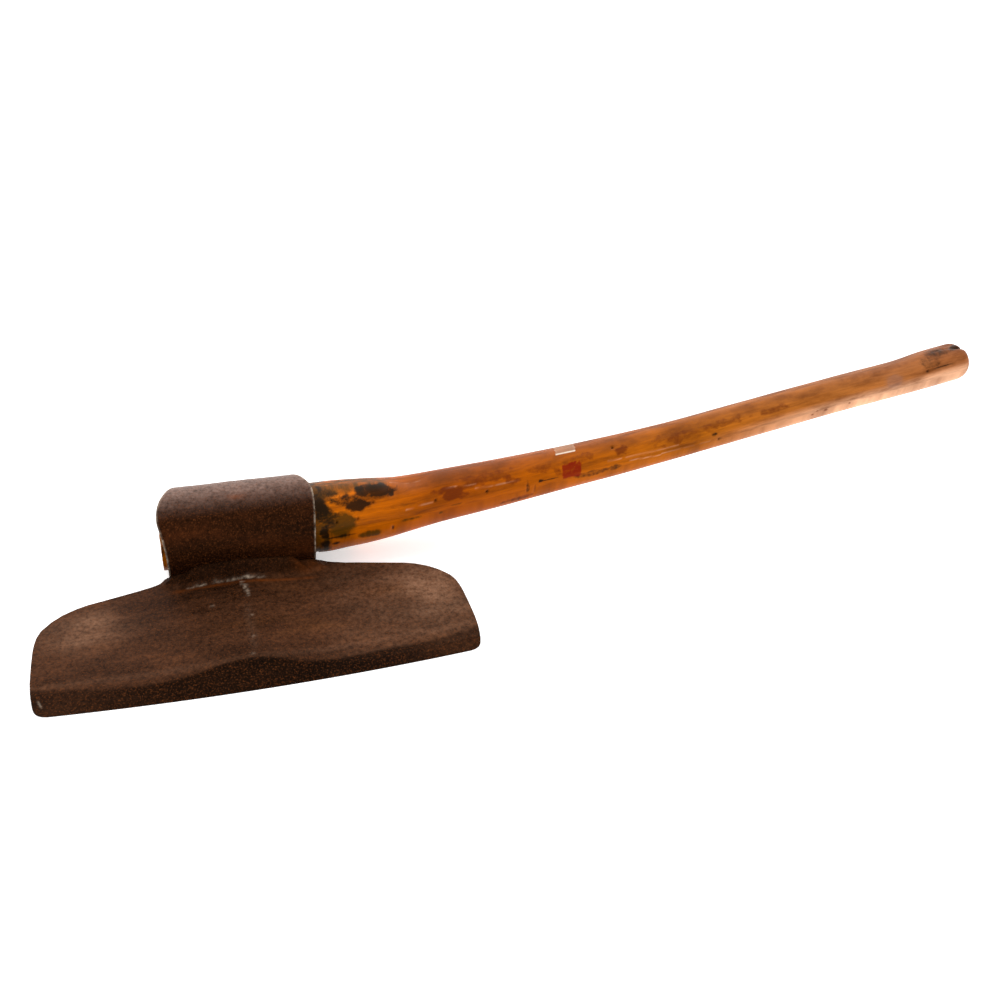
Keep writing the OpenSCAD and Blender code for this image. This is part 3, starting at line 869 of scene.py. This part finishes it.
bmesh.ops.recalc_face_normals(bm, faces=bm.faces)
bmesh.ops.bevel(bm, geom=sharp_edges(bm, 1.0), offset=0.3, affect="EDGES", segments=2, profile=0.5,
                material=-1)
wedge = piece_from(bm, "axe_kerf_wedge", 45)


def split_wood(name):
    """Riven hardwood, never varnished: paler than the shaft and dry."""
    made, tree = blank_material(name)
    where = add(tree, "ShaderNodeTexCoord").outputs["Object"]
    along = add(tree, "ShaderNodeMapping", {"Vector": where, "Scale": (0.08, 1.0, 1.0)})
    fibre = add(tree, "ShaderNodeTexNoise",
                {"Vector": along, "Scale": 900.0, "Detail": 4.0, "Roughness": 0.65})
    tint = add(tree, "ShaderNodeValToRGB", {0: fibre}, ramp=[(0.3, "#5a3518"), (0.7, "#a8753f")])
    torn = add(tree, "ShaderNodeBump", {"Height": fibre, "Strength": 0.6, "Distance": 0.0005})
    wood = add(tree, "ShaderNodeBsdfPrincipled",
               {"Base Color": tint, "Roughness": 0.72, "Specular IOR Level": 0.3, "Normal": torn})
    add(tree, "ShaderNodeOutputMaterial", {0: wood})
    return made


wedge.data.materials.append(split_wood("Split hardwood, unvarnished"))
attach(wedge, "root")
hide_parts("kerf_wedge")


# ---------------------------------------------------------------------------
# The studio: a wide sheet of white paper that glows faintly, so that shadows on
# it stay pale, with one broad soft light from above and behind and an even light
# all round. The camera looks down at the axe from in front of its edge.
# ---------------------------------------------------------------------------
bm = bmesh.new()
bmesh.ops.create_grid(bm, x_segments=1, y_segments=1, size=9000)
bmesh.ops.translate(bm, verts=bm.verts, vec=(200, 3000, cad_box[0][2] / MM - 0.2))
paper_floor = piece_from(bm, "paper_floor", 30)
paper, tree = blank_material("White backdrop paper")
where = add(tree, "ShaderNodeTexCoord").outputs["Object"]
fleck = add(tree, "ShaderNodeTexNoise", {"Vector": where, "Scale": 14.0, "Detail": 2.0})
tint = add(tree, "ShaderNodeValToRGB", {0: fleck}, ramp=[(0.3, "#f4f3f3"), (0.7, "#f9f9f9")])
sheet = add(tree, "ShaderNodeBsdfPrincipled",
            {"Base Color": tint, "Roughness": 0.9, "Specular IOR Level": 0.1,
             "Emission Color": srgb("#ffffff"), "Emission Strength": 0.42})
add(tree, "ShaderNodeOutputMaterial", {0: sheet})
paper_floor.data.materials.append(paper)

studio = bpy.data.worlds.new("studio")
studio.use_nodes = True
all_round = studio.node_tree.nodes["Background"].inputs
all_round["Color"].default_value = srgb("#ffffff")
all_round["Strength"].default_value = 1.0
bpy.context.scene.world = studio
overhead = bpy.data.lights.new("overhead", "SUN")
overhead.energy = 2.4
overhead.angle = math.radians(85)
overhead_lamp = bpy.data.objects.new("overhead", overhead)
overhead_lamp.rotation_euler = (math.radians(-38), 0, math.radians(-14))
bpy.context.scene.collection.objects.link(overhead_lamp)

view_up = math.radians(90 - 32.753)
view_round = math.radians(-18.089)
view_roll = math.radians(3.0)
view_from = (-0.03865, -0.73701, 0.52507)
camera = bpy.data.cameras.new("camera")
camera.sensor_width = 36.0
camera.lens = 41.4
camera.clip_start = 0.01
camera_stand = bpy.data.objects.new("camera", camera)
camera_stand.matrix_world = (Matrix.Translation(view_from) @ Matrix.Rotation(view_round, 4, "Z")
                             @ Matrix.Rotation(view_up, 4, "X") @ Matrix.Rotation(view_roll, 4, "Z"))
bpy.context.scene.collection.objects.link(camera_stand)
bpy.context.scene.camera = camera_stand
bpy.context.scene.view_settings.view_transform = "Standard"
